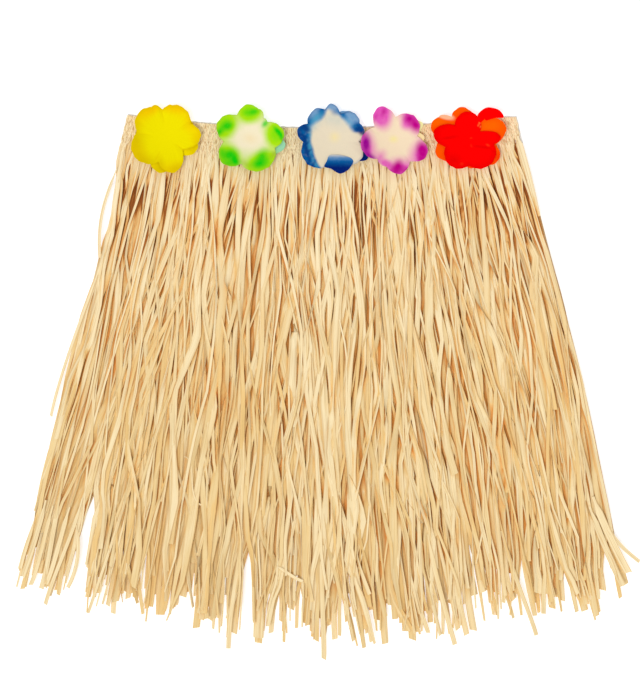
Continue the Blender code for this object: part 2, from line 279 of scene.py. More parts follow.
# Single ribbons that stand out: (points of across and drop, width)
STRAYS = (
    (((-0.960, 0.165), (-0.985, 0.215), (-1.006, 0.270), (-1.010, 0.318)), 0.0030),
    (((-0.984, 0.056), (-1.001, 0.086), (-0.999, 0.115), (-0.966, 0.150)), 0.0034),
    (((0.978, 0.020), (0.982, 0.036), (0.986, 0.062), (0.983, 0.105)), 0.0062),
    (((-0.838, 0.428), (-0.818, 0.448), (-0.811, 0.470), (-0.824, 0.494)), 0.0040),
    (((-0.500, 0.350), (-0.470, 0.362), (-0.455, 0.385), (-0.420, 0.400)), 0.0018),
    (((-0.150, 0.462), (-0.120, 0.468), (-0.090, 0.474), (-0.062, 0.478)), 0.0034),
    (((0.955, 0.420), (0.985, 0.443), (1.015, 0.457), (1.050, 0.468)), 0.0040),
    (((0.945, 0.400), (0.962, 0.430), (0.985, 0.460), (1.004, 0.480)), 0.0080),
    (((0.925, 0.410), (0.940, 0.440), (0.958, 0.470), (0.976, 0.494)), 0.0066),
    (((0.005, 0.440), (0.000, 0.480), (0.004, 0.525), (0.006, 0.560)), 0.0052),
    (((0.610, 0.430), (0.630, 0.470), (0.655, 0.510), (0.672, 0.541)), 0.0044),
    (((0.360, 0.430), (0.375, 0.470), (0.395, 0.510), (0.415, 0.547)), 0.0050),
    (((-0.270, 0.430), (-0.280, 0.470), (-0.290, 0.510), (-0.291, 0.550)), 0.0048),
    (((-0.835, 0.400), (-0.850, 0.440), (-0.872, 0.480), (-0.884, 0.513)), 0.0040),
    (((-0.690, 0.400), (-0.705, 0.440), (-0.725, 0.480), (-0.744, 0.519)), 0.0030),
    (((-0.958, 0.405), (-0.962, 0.435), (-0.968, 0.462), (-0.976, 0.486)), 0.0056),
    (((-0.930, 0.410), (-0.934, 0.440), (-0.936, 0.468), (-0.944, 0.494)), 0.0044),
    (((-0.912, 0.400), (-0.910, 0.435), (-0.906, 0.468), (-0.908, 0.497)), 0.0052),
    (((-0.872, 0.410), (-0.880, 0.440), (-0.886, 0.470), (-0.896, 0.492)), 0.0050),
)
STRAY_HEIGHTS = (0, 0.09, 0.6), (0.0085, 0.0104, 0.0100)  # drops, and how high they lie there


def ramp(value, low, high):
    """0 up to low, 1 from high, evenly between. Low may be the greater."""
    return np.clip((value - low) / (high - low), 0, 1)


def along_knots(values, share, straight=0.0):
    """The values at evenly spaced knots, read at shares of the length: steady near a knot as far as is
    straight."""
    number = values.shape[1] - 1
    place = np.clip(share, 0, 1) * number
    left = np.minimum(place.astype(int), number - 1)
    part = ramp(place - left, straight, 1 - straight)
    eased = part * part * (3 - 2 * part)
    row = np.arange(len(values))[:, None]
    return values[row, left] * (1 - eased) + values[row, left + 1] * eased


def part_ribbons(x, drop, half):
    """Pushes ribbons aside from the partings, each to the side that it is on where the parting starts."""
    for across, start, across_hem, opening in PARTINGS:
        share = np.clip((drop - start) / (HEM_DROP - start), 0, 1.1)
        middle = laid(across + (across_hem - across) * share, drop)[0]
        station = np.argmax(drop >= start, axis=1)[:, None]
        offset = np.take_along_axis(x, station, 1) - np.take_along_axis(middle, station, 1)
        side = np.where(offset > 0, 1.0, -1.0)
        away = np.maximum((x - middle) * side, 0.0)
        clear = opening * share**0.6 + half * ramp(drop, start, start + 0.015)
        pushed = clear + away * (1 - clear / PARTING_REACH)
        near = (drop > start) & (away < PARTING_REACH) & (np.abs(offset) < PARTING_REACH)
        x = np.where(near, middle + side * pushed, x)
    return x


def sweep(rng, path, half, tilt, ridge=0.0, creased=0.13):
    """Ribbons along paths, as eight points round each station: crease lines run along them, and ends are
    cut on a slant."""
    count, stations = path.shape[:2]
    share = np.linspace(0, 1, stations)[None, :] + np.zeros((count, 1))
    tangent = np.gradient(path, axis=1)
    tangent /= np.linalg.norm(tangent, axis=-1, keepdims=True)
    side = np.cross(tangent, np.array([0.0, 0.0, 1.0]))
    side /= np.linalg.norm(side, axis=-1, keepdims=True)
    over = np.cross(side, tangent)
    turn = tilt[..., None]
    breadth = side * np.cos(turn) + over * np.sin(turn)
    depth = over * np.cos(turn) - side * np.sin(turn)
    crease = [along_knots(rng.normal(0, creased, (count, 9)), share) for _ in range(3)]
    fold = np.stack([0 * share, *crease, 0 * share, *crease[::-1]], axis=-1)
    place = SECTION[:, 0] * half[..., None]
    ridge = np.broadcast_to(ridge, half.shape)[..., None] * np.maximum(SECTION[:, 1], 0)
    lift = fold * half[..., None] + SECTION[:, 1] * RAFFIA_PAPER / 2 + ridge
    points = path[:, :, None, :] + breadth[:, :, None, :] * place[..., None]
    points = points + depth[:, :, None, :] * lift[..., None]
    slant = rng.uniform(-0.5, 0.5, (count, 1))
    points[:, -1] += tangent[:, -1][:, None, :] * (place[:, -1] * slant)[..., None]
    lowest = 0.0002 + RAFFIA_PAPER / 2 * (SECTION[:, 1] + 1)
    points[..., 2] = np.maximum(points[..., 2], lowest)
    return points, place


def ribbon_values(drop, place, tone, in_heading):
    """What the material reads: (drop, millimetres from the middle line, the ribbon's tone), and (place from
    edge to edge, whether it is stitched, room for its painted shade: how far it is buried)."""
    ribbon = np.stack(np.broadcast_arrays(drop[..., None], place * 1000, tone), axis=-1)
    strip = np.stack(np.broadcast_arrays(SECTION[:, 0], in_heading[..., None], 0.0 * place), axis=-1)
    return ribbon, strip


def ribbon_drops(rng, root, stations, stitched, short, cut):
    """How far down each station of each ribbon is, closer together near the heading, and where it ends."""
    shape = (len(root), 1)
    unevenness = 2.2
    end = np.interp(root, *HEM) - rng.gamma(unevenness, short / unevenness, shape)
    end = end - np.where(rng.random(shape) < cut, rng.uniform(0.02, 0.20, shape), 0)
    first, number = (0.0, STITCHED_STATIONS) if stitched else (0.002, 3)
    top = np.linspace(first, HEADING_DEPTH, number)[None, :] + 0 * end
    spacing = np.linspace(0, 1, stations + 1)[None, 1:] ** 1.25
    return np.concatenate([top, HEADING_DEPTH + (end - HEADING_DEPTH) * spacing], axis=1), end


def ribbon_halves(rng, drop, end, width, varied, stitched):
    """Half of each ribbon's width: each has its own, changes along it, and narrows to its end and heading."""
    shape = (len(drop), 1)
    narrowest, widest, least = 0.0010, 0.0048, 0.0008
    thinned, pointed, pointed_share = 0.15, (0.6, 0.08), 0.12
    share = ramp(drop, HEADING_DEPTH, end)
    half = np.clip(width * np.exp(rng.normal(0, varied, shape)) / 2, narrowest, widest)
    half = half * (1 + along_knots(rng.normal(0, 0.55 * varied, (len(drop), 10)), share))
    tapered = np.where(rng.random(shape) < pointed_share, *pointed)
    half = half * (1 - thinned * ramp(drop, end - 0.10, end - 0.02))
    half = np.maximum(half * (1 - tapered * ramp(drop, end - 0.05, end)), least)
    narrow = STITCHED_WIDTH / 2 if stitched else 0.0015
    return narrow + (half - narrow) * ramp(drop, HEADING_DEPTH - 0.004, 0.080)


# The fringe sways in wide waves: (distance, turns across, turns down, start, drop where it is full)
SWAYS = ((0.006, 7.3, 7.0, 0.6, 0.3), (0.004, 17.0, -9.0, 0.0, 0.2))
# Below the heading ribbons gather in bunches: (distance, turns across, start)
BUNCHES = ((0.0024, 139.0, 0.0), (0.0020, 187.0, 1.0), (0.0015, 71.0, 0.0))


def ribbon_lines(rng, root, drop, half, end, wander, stitched, front):
    """Each ribbon's middle line on the laid skirt: it sways with the others, leans its own way between soft
    bends, and keeps inside the fringe's edges and out of its partings."""
    count = len(root)
    share = ramp(drop, HEADING_DEPTH, end)
    free = ramp(drop, HEADING_DEPTH, HEADING_DEPTH + 0.04)
    x, y = laid(root, drop)
    for distance, across, down, start, full in SWAYS:
        x = x + distance * np.sin(across * root + down * drop + start) * ramp(drop, 0.03, full)
    bunch = sum(distance * np.sin(across * root + start) for distance, across, start in BUNCHES)
    bunch = bunch * ramp(drop, 0.024, 0.045) * ramp(drop, 0.190, 0.090)
    aside = rng.normal(0, 0.0024, (count, 1)) * ramp(drop, 0.026, 0.056) * ramp(np.abs(root), 0.995, 0.97)
    slit = np.exp(-(((drop - SLIT_DROP) / SLIT_LENGTH) ** 2)) * np.interp(root, *SLITS)
    x = x + (bunch + aside + slit * front) * stitched
    held = 1 - 0.7 * np.abs(root) ** 10  # the outermost lean less
    slope = along_knots(rng.normal(0, wander, (count, 9)), share, 0.38) * free * held
    drift = np.cumsum(slope * np.diff(drop, axis=1, prepend=drop[:, :1]), axis=1)
    x = x + drift - 0.5 * drift[:, -1:] * share
    pulled_in = np.where(x < WAIST_MIDDLE, np.interp(drop, *LEFT_EDGE), np.interp(drop, *RIGHT_EDGE))
    edge_room, past_edge = 0.004, 0.005
    uneven = rng.uniform(0, edge_room, (count, 1)) * free
    limit = HALF_WAIST + FLARE * drop - pulled_in - half - edge_room - uneven
    beyond = np.maximum(np.abs(x - WAIST_MIDDLE) - limit, 0)
    x = x - np.sign(x - WAIST_MIDDLE) * (beyond - past_edge * np.tanh(beyond / past_edge))
    return part_ribbons(x, drop, half), y


def ribbon_tilts(rng, share, varied):
    """How far each ribbon is turned about its middle line, with some that turn right over."""
    count = len(share)
    tilt = along_knots(rng.normal(0, 1.15 * varied, (count, 12)), share, 0.2)
    tilt = tilt + rng.normal(0, 0.5 * varied, (count, 1))
    flips = np.where(rng.random((count, 1)) < 0.9 * varied - 0.17, math.pi, 0.0)
    return tilt + flips / (1 + np.exp(-(share - rng.uniform(0.15, 0.95, (count, 1))) * 45))


def hang_ribbons(rng, roots, levels, spread, width, varied, wander, stations, short, stitched=True,
                 front=True, cut=0.12):
    """A layer of ribbons from their places at the waist. Levels are its drops and heights, spread how
    unevenly it lies, varied how unlike its ribbons are, wander how much they lean, short how far they end
    above the hem, and cut the share of them cut higher up. Returns points, and ribbon and strip values."""
    root = roots[:, None]
    count = len(roots)
    drop, end = ribbon_drops(rng, root, stations, stitched, short, cut)
    half = ribbon_halves(rng, drop, end, width, varied, stitched)
    x, y = ribbon_lines(rng, root, drop, half, end, wander, stitched, front)
    share = ramp(drop, HEADING_DEPTH, end)

    ride = rng.normal(0, spread * 0.7, (count, 1)) * ramp(drop, 0.03, 0.09)
    ride = ride + along_knots(rng.normal(0, spread * 0.7, (count, 9)), share) * ramp(drop, 0.03, 0.1)
    z = np.interp(drop, *levels) + ride
    tilt = ribbon_tilts(rng, share, varied) * ramp(drop, HEADING_DEPTH, HEADING_DEPTH + 0.04)
    if not front:
        tilt = np.clip(tilt, -0.2, 0.2)
        z = np.maximum(z, 0.0004 + 0.2 * half)

    in_heading = ramp(drop, HEADING_DEPTH + 0.006, HEADING_DEPTH - 0.002)
    ridge = 0.0
    if stitched:
        outward = 1.0 if front else -1.0
        rows = sum(np.exp(-(((drop - row) / STITCH_REACH) ** 2)) for row in STITCH_ROWS)
        ridge = in_heading * (0.0006 - 0.0003 * rows) * outward
        z = z - in_heading * 0.00015 * rows * outward
        crimps = np.sin(drop * 640 + root * 190 + rng.uniform(0, 3.0, (count, 1)))
        x = x + in_heading * ramp(drop, 0.0, 0.004) * 0.0005 * crimps
    path = np.stack([x, y, z], axis=-1)
    points, place = sweep(rng, path, half, tilt, ridge, creased=0.13 if front else 0.04)
    return points, *ribbon_values(drop, place, rng.random((count, 1, 1)), in_heading)


def stray_ribbons(rng):
    """The ribbons that stand out, on smooth curves through their points, just above the outer layer."""
    share = np.linspace(0, 1, 26)
    paths, halves, drops = [], [], []
    for points, width in STRAYS:
        knots = np.linspace(0, 1, len(points))
        across, drop = (np.polyval(np.polyfit(knots, values, 3), share) for values in np.array(points).T)
        paths.append(np.stack([*laid(across, drop), np.interp(drop, *STRAY_HEIGHTS)], axis=-1))
        halves.append(width / 2 * np.clip(share / 0.2, 0.4, 1))
        drops.append(drop)
    path, half, drop = np.array(paths), np.array(halves), np.array(drops)
    tilt = rng.normal(0, 0.15, (len(path), 1)) + 0 * half
    points, place = sweep(rng, path, half, tilt)
    return points, *ribbon_values(drop, place, 0.6 + 0.3 * rng.random((len(path), 1, 1)), 0 * drop)


# The highest raffia is mapped on square cells of the floor; what the map holds above and near a point
# sets how much shade is painted on it
MAP_CELL, MAP_CORNER, MAP_CELLS = 0.001, -0.36, 720
SHADE_REACHES = (0.0010, 0.0020, 0.0036)
SHADE_TURNS = np.radians(np.arange(0, 360, 45))


def map_cells(x, y):
    """The map's cells that places are in."""
    return tuple(np.clip(((place - MAP_CORNER) / MAP_CELL).astype(int), 0, MAP_CELLS - 1) for place in (x, y))


def paint_gap_shade(layers, covers, front=True):
    """Sets the painted shade of each ribbon of layers, by how far it is buried among the ribbons of covers,
    seen from the front or the back."""
    highest = np.full((MAP_CELLS, MAP_CELLS), -1.0)
    facing = 1.0 if front else -1.0
    for points, *_ in covers:
        for step in np.linspace(0, 1, 16, endpoint=False):
            between = points[:, :-1, :5] * (1 - step) + points[:, 1:, :5] * step
            for part in (0.0, 0.5):
                spot = between[:, :, :-1] * (1 - part) + between[:, :, 1:] * part
                np.maximum.at(highest, map_cells(spot[..., 0], spot[..., 1]), spot[..., 2] * facing)
    for points, _, strip in layers:
        x, y = points[..., 0], points[..., 1]
        over = 0
        for reach in SHADE_REACHES:
            for turn in SHADE_TURNS:
                near = map_cells(x + reach * math.cos(turn), y + reach * math.sin(turn))
                over = over + ramp(highest[near] - points[..., 2] * facing, 0.0004, 0.0042)
        # painted shade: the share of nearby map samples that lie above the point, less low on the left
        packed = ramp(y, 0.02, -0.08) * ramp(x, 0.03, -0.05)  # the fringe is closest low on the left
        strip[..., 2] = over / (len(SHADE_REACHES) * len(SHADE_TURNS)) * (1 - 0.4 * packed)


def raffia_piece(name, node, batches):
    """One mesh of all the ribbons of batches, each of (points, ribbon values, strip values)."""
    ring = len(SECTION)
    verts, faces, ribbon, strip = [], [], [], []
    start = 0
    for points, ribbon_part, strip_part in batches:
        count, rings = points.shape[:2]
        one = np.array(tube_faces(rings, ring, closed_ends=False))
        firsts = start + np.arange(count) * rings * ring
        faces += (one[None] + firsts[:, None, None]).reshape(-1, 4).tolist()
        for first in firsts.tolist():
            last = first + (rings - 1) * ring
            faces.append(list(range(first + ring - 1, first - 1, -1)))
            faces.append(list(range(last, last + ring)))
        verts.append(points.reshape(-1, 3))
        ribbon.append(ribbon_part.reshape(-1, 3))
        strip.append(strip_part.reshape(-1, 3))
        start += count * rings * ring
    values = {"ribbon": np.concatenate(ribbon), "strip": np.concatenate(strip)}
    piece = mesh_piece(name, np.concatenate(verts), faces, raffia, 50.0, **values)
    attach(piece, "root")
    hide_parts(node)


def raffia_material():
    """Natural raffia: straw coloured, each ribbon lighter or warmer, with shade painted in golden, amber and
    umber between and beneath the others.
    """
    material, shader, wire = start_material("raffia", 0.62, Specular_IOR_Level=0.15)

    def three(name):
        """The three numbers of a vector attribute."""
        vector = wire.add("Attribute", {"attribute_name": name}, None, "Vector")
        return (wire.add("SeparateXYZ", None, {0: vector}, number) for number in range(3))

    along, over, tone = three("ribbon")
    edge, stitched, gap_shade = three("strip")

    def streaks(on_along, on_over, on_tone, detail, **inputs):
        """Noise drawn out along the ribbons, unlike from one to the next."""
        place = wire.add("CombineXYZ", None, {0: on_along, 1: on_over, 2: on_tone})
        return place.noise(1.0, detail, **inputs)

    grain = streaks(along * 40.0, over * 2.2, tone * 90.0, 4.0, Roughness=0.6)
    patch = streaks(along * 22.0, over * 0.15, tone * 40.0, 2.0)
    fleck = streaks(along * 190.0, over * 1.5 + along * 110.0, tone * 60.0, 1.0)
    vein = streaks(along * 14.0, over * 1.5, tone * 70.0, 2.0)

    cream, straw, golden_tone_and_shade = (0.930, 0.770, 0.470), (0.855, 0.645, 0.320), (0.848, 0.550, 0.200)
    palest, pale_stitched = (0.980, 0.850, 0.590), (0.990, 0.840, 0.560)
    fleck_brown, grain_tan, vein_tan = (0.500, 0.260, 0.080), (0.760, 0.500, 0.220), (0.690, 0.475, 0.205)
    tip_tan, edge_shade_brown, low_gold_shade = (0.700, 0.500, 0.215), (0.640, 0.360, 0.110), (0.815, 0.550, 0.215)
    amber_shade, umber_shade = (0.780, 0.300, 0.048), (0.300, 0.070, 0.007)

    paler = tone * 0.7 + patch.between(0.3, 0.7) * 0.3
    base = paler.between(0.30, 0.80).mix(straw, cream)
    base = (paler.between(0.36, 0.05) * 0.8).mix(base, golden_tone_and_shade)
    base = (along.between(0.30, 0.05) * 0.50).mix(base, palest)
    base = (stitched * 0.65).mix(base, pale_stitched)
    base = (fleck.between(0.52, 0.62) * stitched * 0.75).mix(base, fleck_brown)
    base = (grain.between(0.35, 0.75) * 0.25).mix(base, grain_tan)
    base = (vein.between(0.54, 0.62) * 0.55).mix(base, vein_tan)
    base = (along.between(0.46, 0.56) * 0.22).mix(base, tip_tan)
    # Painted shade along both edges of each ribbon
    rim = edge.sum("ABSOLUTE", edge).between(0.68, 1.0)
    base = (rim * 0.50).mix(base, edge_shade_brown)

    # Painted shade between and beneath ribbons, by how far each is buried: darkest under the heading and
    # lighter near the hem
    high = along.between(0.170, 0.055)
    low = along.between(0.38, 0.50)
    painted_shade = gap_shade * (1 - stitched * 0.85) * (high * 2.2 + 1) * (1 - low * 0.44)
    # golden is a ribbon tone above, and here also the colour of painted shade
    base = (painted_shade.between(0.03, 0.22) * 0.8).mix(base, low.mix(golden_tone_and_shade, low_gold_shade))
    base = (painted_shade.between(0.15, 0.58) * 0.88).mix(base, amber_shade)
    painted_deep_shade = painted_shade * (high * 0.5 + 1)
    base = (painted_deep_shade.between(0.45, 0.90) * (high * 0.70 + 0.30)).mix(base, umber_shade)
    wire_up(shader, {"Base Color": base, "Roughness": 0.50 + grain * 0.25}, grain, 0.35, 0.0003)
    return material


raffia = raffia_material()
FRONT_STITCHED, FRONT_OUTER = 292, 150  # ribbons stitched in the front heading, and how many lie outermost
BACK_STITCHED, BACK_OUTER = 190, 95
INNER_RIBBONS, SLIPS = 128, 120
rng = np.random.default_rng(751)
front_roots = np.linspace(-0.994, 0.994, FRONT_STITCHED) + rng.normal(0, 0.0012, FRONT_STITCHED)
front_roots = np.clip(front_roots, -0.995, 0.995)
front_outer = rng.permutation(FRONT_STITCHED) < FRONT_OUTER
back_roots = np.linspace(-0.994, 0.994, BACK_STITCHED)
back_outer = rng.permutation(BACK_STITCHED) < BACK_OUTER
inner_roots = np.linspace(-0.972, 0.972, INNER_RIBBONS) + rng.normal(0, 0.002, INNER_RIBBONS)

outer = hang_ribbons(
    rng, front_roots[front_outer], ((0, 0.03, 0.09, 0.3, 0.6), (0.0060, 0.0064, 0.0096, 0.0094, 0.0086)),
    spread=0.0011, width=0.0047, varied=0.38, wander=0.150, stations=44, short=0.042,
)
middle = hang_ribbons(
    rng, front_roots[~front_outer], ((0, 0.03, 0.07, 0.6), (0.0057, 0.0059, 0.0072, 0.0064)),
    spread=0.0009, width=0.0049, varied=0.36, wander=0.135, stations=40, short=0.046,
)
inner = hang_ribbons(
    rng, inner_roots, ((0, 0.09, 0.6), (0.0040, 0.0048, 0.0045)),
    spread=0.0005, width=0.0094, varied=0.12, wander=0.022, stations=28, short=0.064, stitched=False, cut=0.0,
)
back_in = hang_ribbons(
    rng, back_roots[~back_outer], ((0, 0.03, 0.09, 0.6), (0.0011, 0.0013, 0.0028, 0.0028)),
    spread=0.0005, width=0.0068, varied=0.16, wander=0.035, stations=26, short=0.062, front=False,
)
back_out = hang_ribbons(
    rng, back_roots[back_outer], ((0, 0.03, 0.09, 0.6), (0.0010, 0.0010, 0.0010, 0.0011)),
    spread=0.0004, width=0.0060, varied=0.36, wander=0.080, stations=26, short=0.040, front=False,
)
slip_roots = np.sort(rng.uniform(-0.985, 0.985, SLIPS))
slips = hang_ribbons(
    rng, slip_roots, ((0, 0.03, 0.09, 0.6), (0.0050, 0.0056, 0.0092, 0.0086)),
    spread=0.0013, width=0.0024, varied=0.34, wander=0.130, stations=31, short=0.044, stitched=False,
)
strays = stray_ribbons(rng)
# Painted shade between and beneath the ribbons, seen from the front and from behind
paint_gap_shade((outer, slips, middle, inner, strays), (outer, slips, middle, inner))
paint_gap_shade((back_in, back_out), (back_in, back_out), front=False)


def stitched_part(layer):
    return tuple(values[:, :STITCHED_STATIONS] for values in layer)


def free_part(layer):
    return tuple(values[:, STITCHED_STATIONS - 1 :] for values in layer)


raffia_piece("raffia_heading_front", "heading_front", (stitched_part(outer), stitched_part(middle)))
raffia_piece("raffia_heading_back", "heading_back", (stitched_part(back_in), stitched_part(back_out)))
raffia_piece("raffia_back_outer", "fringe_back_outer", (free_part(back_out),))
raffia_piece("raffia_back_inner", "fringe_back_inner", (free_part(back_in),))
raffia_piece("raffia_front_inner", "fringe_front_inner", (inner,))
raffia_piece("raffia_front_middle", "fringe_front_middle", (free_part(middle),))
raffia_piece("raffia_front_outer", "fringe_front_outer", (free_part(outer), slips, strays))

# ----------------------------------------------------------------------------------------------------------
# The flowers: five of pressed cloth, sewn through their middles to the front heading. Each is two stamped
# layers of petals, dished upwards, and dyed from a pale or bright middle to its tips.
FLOWER_BASE = 0.0081  # height of a flower's middle
PETAL_SPACING = 0.0019
PETAL_CLOTH = 0.00035
DISH_RADIUS, DISH_POWER = 0.036, 1.8
PETAL_ANGLES = 216
PETAL_RINGS, FLAP_RINGS = 22, 8
UNDER_SHARES = np.array((0.25, 0.5, 0.75, 1.0))  # the rings under a sheet of cloth, from its middle out
LEAST_REACH = 0.009
# Each flower's place: (across from the middle of the waist, up from its top, dish depth, lean in degrees)
FLOWERS = {
    "yellow": (-0.1632, -0.0236, 0.0075, 0.0),
    "green": (-0.0765, -0.0251, 0.0075, 0.0),
    "blue": (0.0118, -0.0261, 0.0060, 2.5),
    "purple": (0.0749, -0.0257, 0.0085, 3.5),
    "red": (0.1542, -0.0261, 0.0075, 0.0),
}
# The tables below are in millimetres and degrees, from a flower's middle. Petals and bumps:
# (direction, reach, half width). Dabs of dye: (along, up, length, breadth, turn, which dye, strength,
# softness). Dips, as far as a line: (which dye, strength, softness, from and to which direction, line).
# Flaps: (corners, how high they lie, ((which dye, where it starts, where it is full), ...)).
# Rim: (which dye, strength, how far out it starts).


def petal_outline(petals, angles):
    """The reach of a layer's edge at each angle: the furthest of its petals, which are ellipses."""
    reach = np.full(len(angles), LEAST_REACH)
    for direction, length, half_width in petals:
        out, along = 0.48 * length / 1000, 0.52 * length / 1000
        turned = angles - math.radians(direction)
        a = (np.cos(turned) / along) ** 2 + (np.sin(turned) / (half_width / 1000)) ** 2
        b = out * np.cos(turned) / along**2
        root = b * b - a * ((out / along) ** 2 - 1)
        reach = np.maximum(reach, np.where(root > 0, (b + np.sqrt(np.maximum(root, 0))) / a, 0))
    return reach


def nearest_petal(petals, angles):
    """How far each angle is from the middle line of the petal it is on: 0, or up to 1 at the creases."""
    away = np.full(len(angles), 9.0)
    directions = sorted(math.radians(petal[0]) for petal in petals)
    for number, direction in enumerate(directions):
        after = directions[(number + 1) % len(directions)]
        before = directions[number - 1]
        turned = (angles - direction + math.pi) % (2 * math.pi) - math.pi
        span_after = ((after - direction) % (2 * math.pi)) / 2
        span_before = ((direction - before) % (2 * math.pi)) / 2
        here = np.where(turned >= 0, turned / span_after, turned / span_before)
        away = np.where(np.abs(here) < np.abs(away), here, away)
    return np.abs(np.clip(away, -1, 1))


def dab_values(x, y, dabs):
    """The strengths of up to six dyes at points in millimetres from a flower's middle."""
    dyes = np.zeros((*x.shape, 6))
    for dab_x, dab_y, length, breadth, turn, dye, strength, soft in dabs:
        cos, sin = math.cos(math.radians(turn)), math.sin(math.radians(turn))
        along, over = (x - dab_x) * cos + (y - dab_y) * sin, (y - dab_y) * cos - (x - dab_x) * sin
        away = np.sqrt((along / length) ** 2 + (over / breadth) ** 2)
        dab = strength * (1 - ramp(away, 1 - soft, 1 + soft)) ** 1.3
        dyes[..., dye] = 1 - (1 - dyes[..., dye]) * (1 - dab)
    return dyes


def cloth_patch(outline, middle, height, dye, rings):
    """A closed thin sheet in millimetres: rings from its middle to its outline, above and below."""
    count = len(outline)
    shares = np.linspace(0, 1, rings + 1)[1:] ** 0.85
    upper = middle + (outline - middle) * shares[:, None, None]
    lower = middle + (outline - middle) * UNDER_SHARES[:, None, None]
    points = np.concatenate([[middle], upper.reshape(-1, 2), lower.reshape(-1, 2), [middle]])
    z = height(points[:, 0], points[:, 1])
    cloth = PETAL_CLOTH * 1000
    rim, under = 1 + (rings - 1) * count, 1 + rings * count
    z[under:] -= cloth
    z[rim:under] -= cloth * 0.3
    under_rim = under + (len(UNDER_SHARES) - 1) * count
    faces = []
    for i in range(count):
        j = (i + 1) % count
        faces.append((0, 1 + i, 1 + j))
        for a in range(1, rim, count):
            faces.append((a + i, a + count + i, a + count + j, a + j))
        faces.append((rim + i, under_rim + i, under_rim + j, rim + j))
        for a in range(under, under_rim, count):
            faces.append((a + i, a + j, a + count + j, a + count + i))
        faces.append((under + j, under + i, len(points) - 1))
    return np.column_stack([points, z]), faces, dye(points[:, 0], points[:, 1])


def rounded_outline(corners, count=64):
    """A closed smooth curve through corners in millimetres."""
    corners = np.array(corners, float)
    place = np.linspace(0, len(corners), count, endpoint=False)
    number = place.astype(int)
    t = (place - number)[:, None]
    p = [corners[(number + k) % len(corners)] for k in (-1, 0, 1, 2)]
    curve = 2 * p[1] + (p[2] - p[0]) * t + (2 * p[0] - 5 * p[1] + 4 * p[2] - p[3]) * t**2
    return 0.5 * (curve + (3 * p[1] - p[0] - 3 * p[2] + p[3]) * t**3)


def petal_material(name, middle, dyes, patchy=0.24):
    """Pressed cloth dyed in up to six colours, with a fine weave, and each dye uneven in the cloth."""
    material, shader, wire = start_material(name, 0.85, Specular_IOR_Level=0.02)
    place = wire.add("TexCoord", output="Object")
    mottle, fibre = place.noise(240.0, 3.0), place.noise(1600.0, 2.0)
    weave = place.waves("X", 500.0, 0.6) + place.waves("Y", 500.0, 0.6)
    baths = [wire.add("Attribute", {"attribute_name": name}, None, "Vector") for name in ("dye", "more_dye")]
    colour = middle
    for number, dye in enumerate(dyes):
        strength = wire.add("SeparateXYZ", None, {0: baths[number // 3]}, number % 3)
        uneven = strength * (mottle * patchy + (1 - patchy / 2))
        colour = uneven.sum("MINIMUM", uneven, 1.0).mix(colour, dye)
    shadow = [value * 0.86 for value in dyes[0]]
    colour = (fibre.between(0.5, 0.8) * 0.10).mix(colour, shadow)
    wire_up(shader, {"Base Color": colour}, weave + fibre * 0.6, 0.25, 0.00012)
    return material


def tip_dabs(petals, dye, share, length, breadth, strength, soft):
    """A dab of dye on the tip of each petal, at a share of its reach."""
    dabs = []
    for direction, reach, half_width in petals:
        along = share * reach * math.cos(math.radians(direction))
        up = share * reach * math.sin(math.radians(direction))
        dabs.append((along, up, length * reach, breadth * half_width, direction, dye, strength, soft))
    return dabs


def dished(radius, dish):
    """How far the dish of a flower has risen in millimetres at a distance from its middle."""
    return dish * 1000 * (radius / (DISH_RADIUS * 1000)) ** DISH_POWER


def petal_flap(corners, lift, flap_dyes, dish):
    """A folded end of a petal, crowned, as a sheet of cloth of its own, and its area in mm2."""
    edge = rounded_outline(corners)
    middle = edge.mean(axis=0)
    room = np.hypot(*(edge - middle).T).mean()

    def height(px, py):
        crown = 0.7 * (1 - np.clip(np.hypot(px - middle[0], py - middle[1]) / room, 0, 1) ** 2)
        return PETAL_SPACING * 1000 + dished(np.hypot(px, py), dish) + lift + crown

    def dye(px, py):
        low, high = edge[:, 1].min(), edge[:, 1].max()
        dyes = np.zeros((len(px), 6))
        for which, start, full in flap_dyes:
            dyes[:, which] = ramp((high - py) / (high - low), start, full)
        return dyes

    around = np.roll(edge, -1, axis=0)
    area = 0.5 * abs(float(np.sum(edge[:, 0] * around[:, 1] - around[:, 0] * edge[:, 1])))
    return cloth_patch(edge, middle, height, dye, FLAP_RINGS), area


# Layers creased deeper than this get painted shade along their folds and in fine pleat lines
DEEP_CREASE = 0.7  # a layer creased deeper than this has fine pleats, and its folds are shaded with dye 2
FOLD_SHADE_DYE = 2


